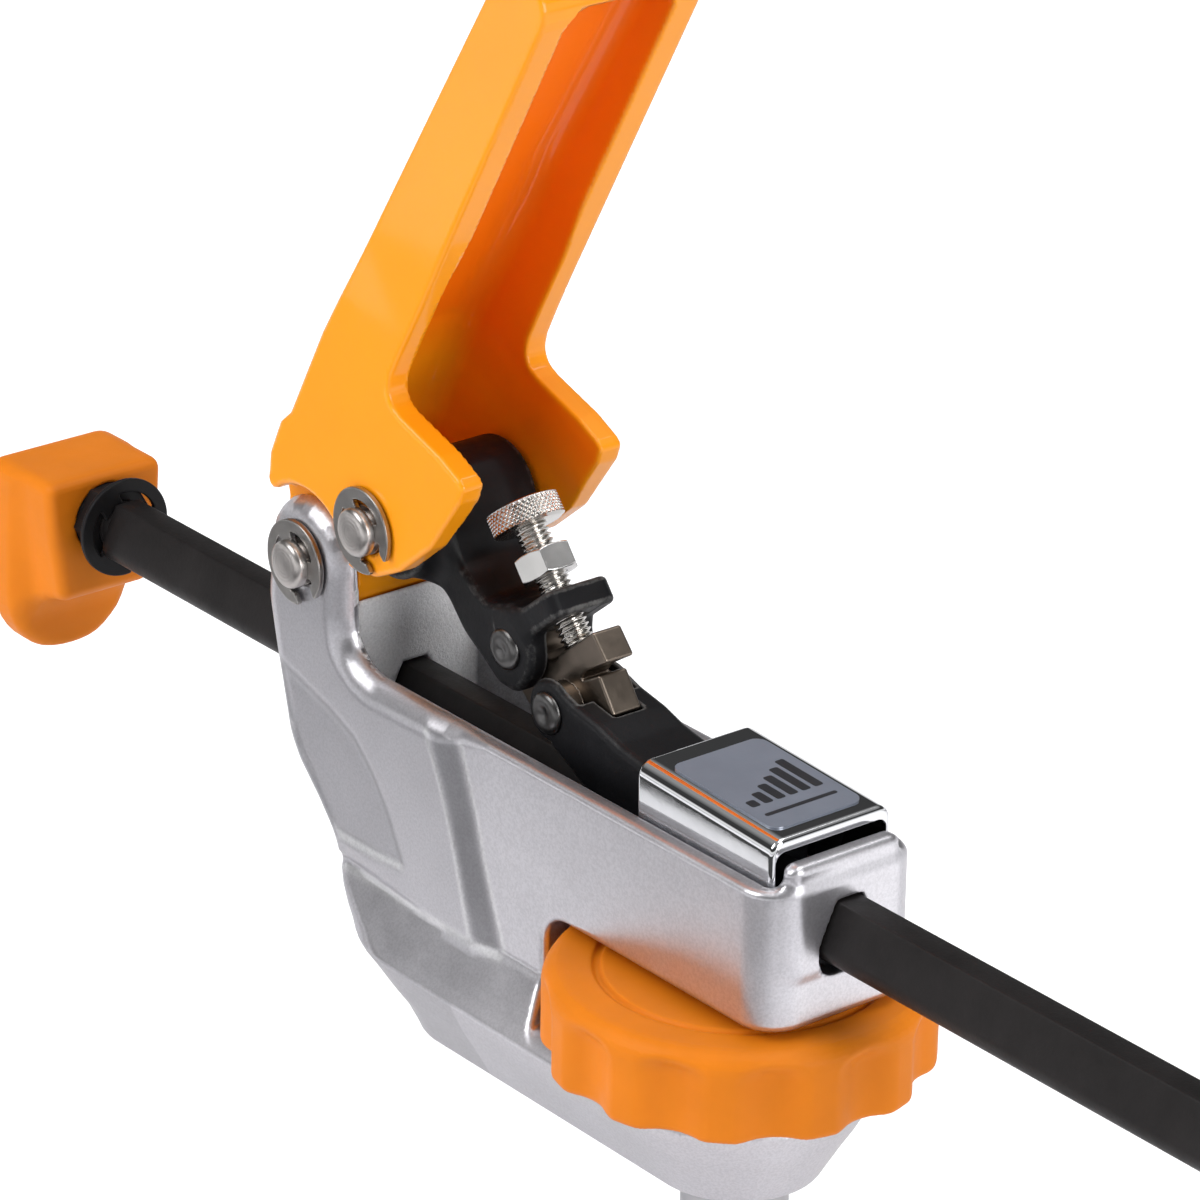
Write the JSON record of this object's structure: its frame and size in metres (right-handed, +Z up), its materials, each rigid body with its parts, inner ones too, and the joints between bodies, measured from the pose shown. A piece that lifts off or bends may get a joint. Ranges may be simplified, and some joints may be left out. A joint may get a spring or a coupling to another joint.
{
  "type": "bench dog clamp",
  "caption": "In-line toggle clamp on an expanding peg for a bench dog hole: a handle and linkage over a sliding keystone rod with a swivelling jaw pad, set by a knurled force screw",
  "frame": {"origin": "on the axis of the peg, at the bench surface, where the foot stands", "axes": "+X along the push rod to its tail, the jaw pad at -X; +Z up, away from the bench; +Y across the clamp; the peg points along -Z"},
  "size_m": [0.3341, 0.0686, 0.2488],
  "materials": {
    "cast_silver": "silver lacquer on a fine cast surface",
    "peg_alloy": "turned, bare",
    "zinc_steel": "zinc plated",
    "orange_plastic": "matte moulded",
    "nut_brass": "bare",
    "bright_steel": "bright",
    "pin_steel": "ground, dark",
    "clip_steel": "spring steel, bright",
    "cover_chrome": "polished chrome",
    "label_film": "satin film",
    "orange_paint": "glossy powder coat",
    "black_steel": "black oxide",
    "bronze_steel": "heat treated, brownish",
    "rivet_steel": "worn dark steel",
    "grip_steel": "hardened, dark",
    "screw_nickel": "nickel plated",
    "rod_steel": "black oxide",
    "pad_plastic": "matte, soft"
  },
  "bodies": {
    "frame": {"body_casting": "cast_silver", "dog_peg": "peg_alloy", "thrust_washer": "bright_steel", "body_pivot_pin": "pin_steel", "body_pivot_clips": "clip_steel", "lever_cover": "cover_chrome", "label_plate": "label_film"},
    "knob": {"clamp_knob": "orange_plastic", "knob_nut": "nut_brass"},
    "drawbar": {"draw_bolt": "zinc_steel", "peg_cone": "zinc_steel"},
    "handle": {"handle": "orange_paint", "link_pivot_pin": "pin_steel", "link_pivot_clips": "clip_steel"},
    "link": {"upper_link": "black_steel", "tongue": "bronze_steel", "tongue_rivet": "rivet_steel", "lever_rivet": "rivet_steel"},
    "lever": {"lower_lever": "black_steel", "grip_plates": "grip_steel"},
    "screw": {"force_screw": "screw_nickel", "knurled_head": "screw_nickel"},
    "lock": {"lock_nut": "bright_steel"},
    "rod": {"push_rod": "rod_steel", "pad_clip": "black_steel", "tail_pin": "zinc_steel"},
    "pad": {"jaw_pad": "pad_plastic", "rod_collar": "rod_steel"}
  },
  "joints": [
    {"name": "handle_pivot", "type": "hinge", "parent": "frame", "child": "handle", "pos_m": [-0.103, 0, 0.08284], "axis": [0, 1, 0], "range_deg": [-12, 44]},
    {"name": "link_pivot", "type": "hinge", "parent": "handle", "child": "link", "pos_m": [-0.08392, 0, 0.09532], "axis": [0, 1, 0], "range_deg": [-67, 19]},
    {"name": "lever_pivot", "type": "hinge", "parent": "link", "child": "lever", "pos_m": [-0.0442, 0, 0.07174], "axis": [0, 1, 0], "range_deg": [-7, 23]},
    {"name": "screw_turn", "type": "hinge", "parent": "link", "child": "screw", "pos_m": [-0.04543, 0, 0.08217], "axis": [-0.632, 0, 0.7749], "range_deg": [-720, 720]},
    {"name": "nut_turn", "type": "hinge", "parent": "link", "child": "lock", "pos_m": [-0.04543, 0, 0.08217], "axis": [-0.632, 0, 0.7749], "range_deg": [-720, 720]},
    {"name": "rod_slide", "type": "slide", "parent": "frame", "child": "rod", "axis": [1, 0, 0], "range_m": [-0.083, 0.07]},
    {"name": "pad_swivel", "type": "hinge", "parent": "rod", "child": "pad", "pos_m": [-0.2, 0, 0.05649], "axis": [1, 0, 0], "range_deg": [-12, 12]},
    {"name": "knob_turn", "type": "hinge", "parent": "frame", "child": "knob", "pos_m": [0, 0, 0.03], "axis": [0, 0, -1], "range_deg": [0, 1080]},
    {"name": "drawbar_slide", "type": "slide", "parent": "frame", "child": "drawbar", "axis": [0, 0, 1], "range_m": [0, 0.0038]}
  ],
  "couplings": [
    {"joint": "link_pivot", "follows": "handle_pivot", "ratio": -1.5045},
    {"joint": "lever_pivot", "follows": "handle_pivot", "ratio": 0.5045},
    {"joint": "drawbar_slide", "follows": "knob_turn", "m_per_rad": 0.00019894}
  ]
}
